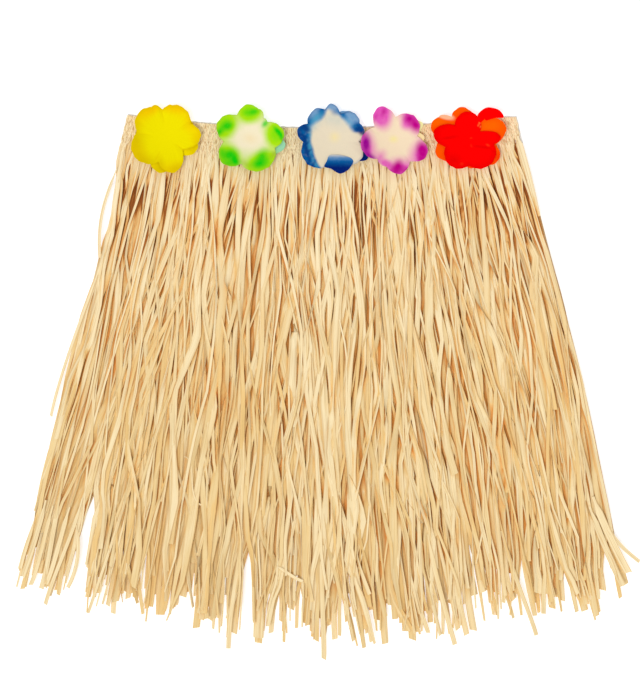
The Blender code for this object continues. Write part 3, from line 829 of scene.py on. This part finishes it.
def flower_layer(flower, layer, petals, material, dabs=(), dips=(), bumps=(), rim=None, flaps=(),
                 crease=0.5):
    """One stamped layer of a flower, with any folded flaps of its petals, on the form of its node."""
    across, up, dish, lean = FLOWERS[flower]
    level = 1 if layer == "top" else 0
    angles = np.linspace(0, 2 * math.pi, PETAL_ANGLES, endpoint=False)
    reach = petal_outline((*petals, *bumps), angles) * 1000
    waver = 0.25 * np.sin(angles * 17 + len(flower)) + 0.15 * np.sin(angles * 31)
    reach = reach + waver * ramp(reach, 20, 30)
    outline = np.column_stack([reach * np.cos(angles), reach * np.sin(angles)])
    on_petal = nearest_petal(petals, angles)

    def place_on_petal(px, py):
        """Distance and angle from the middle, share of the way to the edge, and how near to a crease."""
        radius, angle = np.hypot(px, py), np.arctan2(py, px) % (2 * math.pi)
        share = radius / np.interp(angle, angles, reach, period=2 * math.pi)
        return radius, angle, share, np.interp(angle, angles, on_petal, period=2 * math.pi)

    def height(px, py):
        radius, angle, share, away = place_on_petal(px, py)
        crown = (1 - away**2) * share**2 * 0.6
        valley = crease * np.exp(-(((1 - away) * radius / 3.0) ** 2)) * ramp(share, 0.45, 0.90)
        ripple = 0.12 * np.sin(angle * 23 + radius * 0.25) * share**2
        form = (crown - valley + ripple) * (1 if level else 0.6)
        return level * PETAL_SPACING * 1000 + dished(radius, dish) + form

    def dye(px, py):
        dyes = dab_values(px, py, dabs)
        radius, angle, share, away = place_on_petal(px, py)
        for which, strength, soft, low, high, line in dips:
            direction = np.degrees(angle)
            dipped_from = np.interp(direction, *np.array(line, float).T, period=360)
            within = ramp(direction, low, low + 3) * ramp(direction, high, high - 3)
            dipped = ramp(radius, dipped_from - soft / 2, dipped_from + soft / 2)
            dyes[..., which] = np.maximum(dyes[..., which], strength * within * dipped)
        # Painted shade along the creases between petals and in fine pleat lines, in the fold dye
        if crease > DEEP_CREASE:
            fold = 0.6 * np.exp(-(((1 - away) * radius / 1.3) ** 2)) * ramp(share, 0.45, 0.8)
            pleat_shade = 0.5 + 0.5 * np.sin(angle * 29 + 4.0 * np.sin(angle * 5 + 1) + 0.05 * radius)
            fold = np.maximum(fold, 0.22 * pleat_shade**4 * ramp(share, 0.25, 0.9))
            dyes[..., FOLD_SHADE_DYE] = np.maximum(dyes[..., FOLD_SHADE_DYE], fold)
        if rim:
            which, strength, inner_share = rim
            dyes[..., which] = np.maximum(dyes[..., which], strength * ramp(share, inner_share, 1.0))
        return dyes

    sheets = [cloth_patch(outline, np.zeros(2), height, dye, PETAL_RINGS)]
    area = 0.5 * float(np.sum(reach**2)) * (2 * math.pi / PETAL_ANGLES)
    for flap in flaps:
        sheet, flap_area = petal_flap(*flap, dish)
        sheets.append(sheet)
        area += flap_area

    faces, first = [], 0
    for verts, sheet_faces, _ in sheets:
        faces += [tuple(first + corner for corner in face) for face in sheet_faces]
        first += len(verts)
    x, y, z = np.concatenate([verts for verts, _, _ in sheets]).T / 1000
    dyes = np.concatenate([sheet_dyes for _, _, sheet_dyes in sheets])
    tip = math.radians(lean)
    placed = np.column_stack([
        WAIST_MIDDLE + across + (x * math.cos(tip) + z * math.sin(tip)),
        WAIST_TOP + up + y,
        FLOWER_BASE + (z * math.cos(tip) - x * math.sin(tip)),
    ])
    values = {"dye": dyes[:, :3], "more_dye": dyes[:, 3:]}
    piece = mesh_piece(f"{flower}_petals_{layer}", placed, faces, material, 60.0, **values)
    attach(piece, "root")
    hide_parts(f"flower_{flower}_{layer}")
    wide, long = np.ptp(outline[:, 0]) / 1000, np.ptp(outline[:, 1]) / 1000
    flat_area = min(area / 1e6, wide * long)


# Yellow: bright in the middle, golden towards the rim, pressed with a crease between petals, with shade
# painted along the creases.
YELLOW_UNDER = ((-22, 34.8, 12.5), (35, 31.0, 14.0), (100, 29.0, 14.0), (172, 33.0, 14.0), (258, 38.6, 14.5))
YELLOW_TOP = ((3, 36.0, 14.0), (65, 35.4, 18.0), (139, 38.8, 18.5), (208, 40.0, 19.5), (280, 38.6, 14.2))
gold, olive = (0.860, 0.520, 0.000), (0.650, 0.450, 0.000)
under_fold_shade, top_fold_shade = (0.700, 0.500, 0.000), (0.740, 0.560, 0.000)
flower_layer(
    "yellow", "under", YELLOW_UNDER,
    petal_material("gold_cloth", (0.880, 0.700, 0.000), (gold, olive, under_fold_shade)),
    tip_dabs(YELLOW_UNDER, 1, 1.0, 0.3, 1.0, 0.6, 0.6), crease=0.8,
)
flower_layer(
    "yellow", "top", YELLOW_TOP,
    petal_material("yellow_cloth", (0.825, 0.718, 0.000), (gold, olive, top_fold_shade)),
    tip_dabs(YELLOW_TOP, 0, 1.10, 0.32, 1.30, 0.75, 0.7) + [
        (-33, -4, 15, 8, 100, 1, 0.7, 0.8), (-24, -27, 14, 8, 150, 1, 0.8, 0.8),
        (26, 16, 9, 6, 60, 0, 0.7, 0.8), (10, 32, 16, 6, 0, 0, 0.9, 0.6),
        (-16, 30, 12, 6, 30, 0, 0.9, 0.6), (-34, 14, 9, 5, 100, 1, 0.5, 0.8),
        (12, -33, 12, 5, 20, 1, 0.6, 0.8), (34, -8, 9, 4, 110, 1, 0.5, 0.8),
        (-6, -30, 10, 4, 105, 1, 0.5, 0.8),
    ],
    bumps=((113, 35.8, 9.0), (83, 34.2, 8.0)), rim=(1, 0.55, 0.88), crease=0.9,
)

# Green: cream in the middle, each tip dipped in yellow green with darker green spots.
GREEN_UNDER = ((-13, 38.6, 12.0), (44, 24.0, 9.5), (118, 27.0, 10.0), (190, 27.0, 10.0), (262, 27.0, 10.0))
GREEN_TOP = ((8, 37.0, 15.0), (90, 35.6, 14.0), (152, 37.2, 16.0), (221, 38.5, 15.5), (297, 36.8, 20.0))
# Where the cream middle turns pale green: (direction in degrees, distance in millimetres)
GREEN_MIDDLE = (
    (0, 20), (35, 17), (60, 22), (90, 21), (120, 17), (150, 19), (185, 19), (220, 18), (257, 15), (290, 16),
    (330, 17), (360, 20),
)
pale_lime, lime, grass = (0.580, 0.720, 0.230), (0.480, 0.740, 0.005), (0.140, 0.680, 0.000)
leaf, buff, shade_green = (0.000, 0.570, 0.003), (0.860, 0.670, 0.380), (0.300, 0.420, 0.020)
mint, moss = (0.300, 0.640, 0.420), (0.130, 0.480, 0.010)
flower_layer(
    "green", "under", GREEN_UNDER,
    petal_material("pale_green_cloth", (0.330, 0.620, 0.240), (lime, mint, moss)),
    [(21, 22, 10, 9, 0, 0, 1.0, 0.4), (36, -8, 9, 9, 0, 1, 0.9, 0.4), (17, 17, 6, 5, 45, 2, 0.9, 0.6)],
)
flower_layer(
    "green", "top", GREEN_TOP,
    petal_material("green_cloth", (0.870, 0.770, 0.550), (pale_lime, lime, grass, leaf, buff, shade_green)),
    tip_dabs(GREEN_TOP, 1, 0.80, 0.36, 1.05, 1.0, 0.30)
    + tip_dabs(GREEN_TOP, 2, 0.78, 0.24, 0.70, 0.70, 0.55) + [
        (4.8, 27.8, 6, 3.2, 10, 3, 0.8, 0.6), (-3, 27, 4, 3, 0, 3, 0.35, 0.7),
        (-23, 13.2, 6, 4.5, 20, 3, 0.9, 0.6), (-31.6, 6.5, 6, 3.4, 50, 3, 0.9, 0.7),
        (31.2, 5.9, 8, 2.6, -50, 3, 1.0, 0.5), (34, 0, 4, 2, -70, 3, 0.8, 0.6),
        (-20.5, -17.5, 8, 6, 20, 3, 0.9, 0.7), (-15.2, -22.6, 8, 4.6, -60, 3, 1.0, 0.6),
        (-29, -15, 4, 6, 10, 3, 0.6, 0.7), (-22, -27, 8, 3, -10, 3, 0.7, 0.7),
        (13.2, -20.2, 8, 5.5, 70, 3, 0.85, 0.7), (10.9, -26.6, 8, 4.6, 10, 3, 0.9, 0.7),
        (1.0, 0, 6.5, 4.5, -15, 4, 0.55, 0.8), (16.8, 15.6, 4.4, 2.8, 50, 3, 0.8, 0.6),
        (15, 31, 4, 3, 0, 5, 0.2, 0.8), (26, -17, 5, 3, 50, 5, 0.6, 0.7),
        (-4, -27, 7, 3, -35, 5, 0.4, 0.8),
    ],
    dips=((0, 0.85, 14.0, -5, 365, GREEN_MIDDLE),),
    bumps=((68, 32.6, 7.5), (49, 26.8, 8.0)), rim=(5, 0.35, 0.93),
)

# Blue: cream in the middle, thin pale blue at the top and dipped in navy elsewhere, with one tip folded over.
BLUE_UNDER = ((-29, 41.2, 10.0), (50, 35.0, 16.0), (95, 36.0, 10.0), (128, 36.5, 15.0), (250, 28.0, 12.0))
BLUE_TOP = (
    (-37, 36.0, 15.0), (20, 34.0, 13.0), (47, 35.4, 13.5), (93, 37.4, 9.5), (124, 37.2, 14.0),
    (167, 39.3, 12.0), (218, 38.0, 19.0), (283, 33.0, 17.0),
)
# Where the cream middle ends: (direction in degrees, distance in millimetres)
BLUE_MIDDLE = (
    (5, 40), (20, 23.5), (35, 22.0), (50, 22.2), (68, 24.0), (80, 27.0), (101, 32.0), (111, 28.0),
    (121, 24.5), (149, 26.5), (171, 24.0), (207, 23.5), (228, 27.5), (246, 32.8), (258, 40),
)
# The tip that is folded over
BLUE_FLAP = (
    (-4.1, -16.8), (3.2, -16.0), (11.0, -17.2), (18.4, -19.6), (20.9, -23.5), (18.5, -28.5), (14.6, -33.0),
    (7.5, -36.3), (2.0, -34.2), (-2.4, -31.0), (-9.6, -28.9), (-7.0, -23.0),
)
pale, mid_blue, navy = (0.150, 0.315, 0.540), (0.000, 0.112, 0.350), (0.000, 0.012, 0.145)
butter, thin_blue, streak_blue = (0.880, 0.720, 0.330), (0.070, 0.400, 0.560), (0.001, 0.045, 0.210)
blue_dyes = (pale, mid_blue, navy, butter, thin_blue, streak_blue)
flower_layer(
    "blue", "under", BLUE_UNDER,
    petal_material("pale_blue_cloth", pale, (mid_blue, navy)),
    [(34, -19, 12, 9, 0, 1, 1.0, 0.4), (-26.5, 16.5, 6, 4, 50, 0, 1.0, 0.6)],
)
flower_layer(
    "blue", "top", BLUE_TOP,
    petal_material("blue_cloth", (0.785, 0.680, 0.500), blue_dyes, patchy=0.4),
    [
        (-12.3, 29.0, 6.0, 3.8, 70, 1, 1.0, 0.6), (-15.5, 23.8, 7, 3.5, 40, 1, 0.6, 0.7),
        (9.3, 26.9, 6.5, 2.8, -50, 1, 1.0, 0.6), (-26.5, 16.5, 8, 4, 50, 1, 1.0, 0.6),
        (2, 28.5, 4, 3.0, 0, 1, 0.6, 0.8), (17, 17.5, 8, 3, -45, 4, 0.25, 0.8),
        (-34.5, 8.5, 10, 9.0, -20, 1, 1.0, 0.3), (-29.0, 11.5, 7, 3.6, -50, 2, 0.9, 0.5),
        (-38, 3, 5, 3, 60, 2, 0.9, 0.6), (-31, 0, 7, 3.5, -60, 2, 0.7, 0.6),
        (-28, -12, 8, 3.2, 100, 2, 0.7, 0.6), (-33, -23, 10, 2.6, 115, 2, 0.5, 0.6),
        (-22, -33, 8, 3, 150, 2, 0.5, 0.6), (-26, -24, 7, 1.6, 70, 5, 0.8, 0.6),
        (-22, -28, 6, 1.4, 60, 5, 0.8, 0.6), (-30, -6, 6, 1.2, 40, 5, 0.8, 0.5),
        (-33, 4, 7, 1.3, -20, 5, 0.8, 0.5), (-27, -16, 5, 1.2, -70, 5, 0.8, 0.5),
        (-24.5, 5, 5, 1.8, 95, 4, 0.5, 0.7), (-24.5, -9, 9, 2.2, 100, 4, 0.55, 0.7),
        (-18, -27, 8, 2.2, 120, 4, 0.45, 0.7), (-36, 10, 5, 3, 60, 5, 0.8, 0.5),
        (-30, 12, 5, 2.2, -40, 5, 0.9, 0.4), (-30, -26, 9, 2.2, 118, 5, 0.8, 0.4),
        (-27, -13, 5, 1.4, 30, 5, 0.8, 0.4), (-20, -31, 6, 2.2, 155, 5, 0.6, 0.5),
        (27.5, 10.5, 5, 2.6, 0, 5, 0.9, 0.4), (25.3, 12.9, 6.5, 5.5, 0, 1, 1.0, 0.5),
        (26.0, 12.0, 4.6, 4.2, 0, 2, 0.55, 0.6), (30.5, 7.5, 5, 3.6, -50, 2, 0.9, 0.5),
        (1.5, 2.5, 4.6, 4.6, 0, 3, 0.7, 0.8), (-4, 22, 9, 6, 0, 4, 0.14, 0.9),
        (6, 19, 9, 7, -30, 4, 0.13, 0.9), (-22, 13, 7, 4, 30, 4, 0.30, 0.9),
        (-17.5, 22.5, 8, 3.6, 40, 4, 0.55, 0.7), (-27, -27, 8, 4, 130, 5, 0.35, 0.8),
    ],
    dips=((0, 0.95, 4.5, 14, 162, BLUE_MIDDLE), (1, 1.0, 2.8, 164, 254, BLUE_MIDDLE)),
    bumps=((108, 31.0, 5.0),), rim=(5, 0.40, 0.93),
    flaps=((BLUE_FLAP, 1.0, ((0, -0.08, 0.18), (1, 0.05, 0.36), (2, 0.28, 0.68))),),
)

# Purple: cream in the middle, wide magenta tips, over a few pale yellow petals.
PURPLE_UNDER = ((-50, 30.0, 12.0), (1, 32.6, 9.0), (29, 34.8, 8.5), (75, 23.0, 10.0), (255, 30.0, 12.0))
PURPLE_TOP = ((-27, 39.0, 14.0), (43, 32.4, 15.5), (116, 36.6, 12.5), (195, 35.6, 17.0), (280, 37.8, 14.0))
pink, magenta, plum = (0.740, 0.085, 0.460), (0.480, 0.000, 0.220), (0.300, 0.000, 0.260)
pollen, peach, primrose = (0.880, 0.760, 0.290), (0.930, 0.700, 0.360), (0.840, 0.780, 0.300)
flower_layer(
    "purple", "under", PURPLE_UNDER,
    petal_material("cream_cloth", (0.900, 0.800, 0.460), (primrose, peach)),
    tip_dabs(PURPLE_UNDER, 0, 0.9, 0.3, 1.0, 0.6, 0.6) + [(31, 1, 8, 6, 0, 1, 1.0, 0.4)],
)
flower_layer(
    "purple", "top", PURPLE_TOP,
    petal_material("purple_cloth", (0.865, 0.705, 0.490), (pink, magenta, pollen, plum)),
    tip_dabs(PURPLE_TOP, 0, 1.0, 0.41, 1.30, 1.0, 0.42) + [
        (-13, 24, 14, 10, 110, 0, 0.9, 0.4), (-10.4, 28.4, 4.5, 2.5, 70, 1, 0.7, 0.8),
        (-19.5, 22, 4, 2, 60, 1, 0.4, 0.8), (16.9, 21.1, 6, 5, -30, 1, 1.0, 0.7),
        (23.5, 14.5, 7, 5, -60, 1, 1.0, 0.7), (30.4, -12.9, 10, 6, 100, 1, 1.0, 0.5),
        (29.0, -21.0, 4, 4, 0, 1, 0.9, 0.6), (4.7, -28.5, 6, 4, 70, 1, 1.0, 0.7),
        (2.5, -34.5, 6, 3.0, 0, 1, 0.9, 0.7), (12.5, -33.5, 4, 3, 60, 1, 0.7, 0.7),
        (-29.2, -5.5, 10, 4.6, 88, 3, 1.0, 0.6), (-25, -18.4, 9, 3.2, -35, 3, 0.9, 0.7),
        (-32.3, 4.7, 3, 2, 60, 1, 0.8, 0.7), (0.5, 0, 4.0, 3.2, 0, 2, 0.8, 0.8),
        (-14, -19, 7, 5, 50, 0, 0.7, 0.8), (-8, -26, 8, 4.5, -25, 0, 0.9, 0.5),
        (4, -31, 7, 4, 0, 1, 0.8, 0.6), (15, 17, 7, 5.5, 45, 0, 0.9, 0.6),
    ],
    bumps=((250, 30.8, 12.0),),
)

# Red: one flat bright red with painted shade of deeper red near its petal edges, and the end of one petal
# folded back on itself, over a larger orange layer.
RED_UNDER = (
    (-82, 31.0, 9.0), (-36, 38.6, 14.0), (20, 41.4, 15.0), (106, 34.8, 13.5), (156, 42.5, 13.5),
    (206, 37.6, 13.8),
)
RED_TOP = (
    (-50, 35.3, 18.0), (3, 33.9, 8.0), (66, 22.0, 5.5), (92, 29.0, 14.0), (170, 37.4, 12.5),
    (238, 34.0, 16.5),
)
# The end that is folded back
RED_FLAP = (
    (9.0, 22.6), (11.4, 28.1), (18.1, 32.8), (24.8, 32.8), (32.6, 29.8), (36.9, 22.7), (29.0, 22.2),
    (23.5, 20.9), (18.7, 19.6), (16.0, 21.5), (12.6, 17.6),
)
orange, salmon, burnt = (1.000, 0.125, 0.000), (0.980, 0.480, 0.270), (0.930, 0.035, 0.000)
red, deep_red_shade, spark = (1.000, 0.000, 0.000), (0.780, 0.000, 0.000), (1.000, 0.160, 0.030)
flower_layer(
    "red", "under", RED_UNDER,
    petal_material("orange_cloth", (1.000, 0.090, 0.000), (orange, salmon, burnt)),
    [
        (23, 15, 11, 8, 0, 0, 1.0, 0.6), (-32, 20, 9, 5, 40, 0, 0.7, 0.6),
        (-24.5, 24.6, 10.0, 3.6, -14, 1, 1.0, 0.25), (-31, 17, 6, 3, 10, 0, 0.6, 0.8),
        (35, -20, 9, 7, 0, 2, 0.8, 0.5),
    ],
    bumps=((141, 38.8, 8.5),),
)
flower_layer(
    "red", "top", RED_TOP,
    petal_material("red_cloth", red, (deep_red_shade, spark), patchy=0.6),
    [
        (-16, -22, 9, 7, 0, 0, 0.7, 0.8), (3, 1.5, 1.0, 0.8, 0, 1, 0.12, 0.8),
        (3.2, -6.5, 0.9, 0.9, 0, 1, 0.12, 0.8), (20.5, -6.0, 1.8, 0.9, -30, 1, 0.2, 0.8),
        (-7, -26, 1.6, 1.2, 0, 1, 0.1, 0.8), (15, -8, 12, 2.0, -8, 0, 0.8, 0.6),
        (-19, 2, 12, 2.0, 10, 0, 0.7, 0.6), (30, 26, 6, 4, 40, 0, 0.6, 0.7),
        (12.0, 17.5, 2.2, 1.2, 60, 1, 0.8, 0.5), (13.6, 13.6, 1.8, 1.0, 20, 1, 0.8, 0.5),
        (10.4, 14.6, 1.0, 0.8, 0, 1, 0.7, 0.5), (16.4, 11.0, 2.4, 0.8, -15, 1, 0.7, 0.5),
    ],
    # Painted shade: deeper red towards the petal edges
    rim=(0, 0.75, 0.70), flaps=((RED_FLAP, 1.2, ()),),
)

# ----------------------------------------------------------------------------------------------------------
# The floor and the studio: a pale floor, which glows a little so that shadows on it stay soft, under a broad
# soft light that is brighter from the upper left.
FLOOR_SIZE, FLOOR_GAP = 30.0, 0.0002
FLOOR_GREY, FLOOR_GLOW = 0.75, 0.52
STUDIO_LIGHT = 0.70
KEY_LIGHT, KEY_SPREAD, KEY_TURN = 1.30, 22, (16, -14, 0)

bpy.ops.mesh.primitive_plane_add(size=FLOOR_SIZE, location=(0, 0, -FLOOR_GAP))
floor = bpy.context.object
floor.name = "floor"
floor_material, floor_shader, _ = start_material("pale_floor", 0.9)
floor_shader.inputs["Base Color"].default_value = (FLOOR_GREY, FLOOR_GREY, FLOOR_GREY, 1)
floor_shader.inputs["Emission Color"].default_value = (1, 1, 1, 1)
floor_shader.inputs["Emission Strength"].default_value = FLOOR_GLOW
floor.data.materials.append(floor_material)

world = bpy.data.worlds.new("studio")
world.use_nodes = True
world.node_tree.nodes["Background"].inputs["Color"].default_value = (1, 1, 1, 1)
world.node_tree.nodes["Background"].inputs["Strength"].default_value = STUDIO_LIGHT
bpy.context.scene.world = world

key_data = bpy.data.lights.new("key", "SUN")
key_data.energy, key_data.angle = KEY_LIGHT, math.radians(KEY_SPREAD)
key = bpy.data.objects.new("key", key_data)
key.rotation_euler = [math.radians(turn) for turn in KEY_TURN]
bpy.context.collection.objects.link(key)
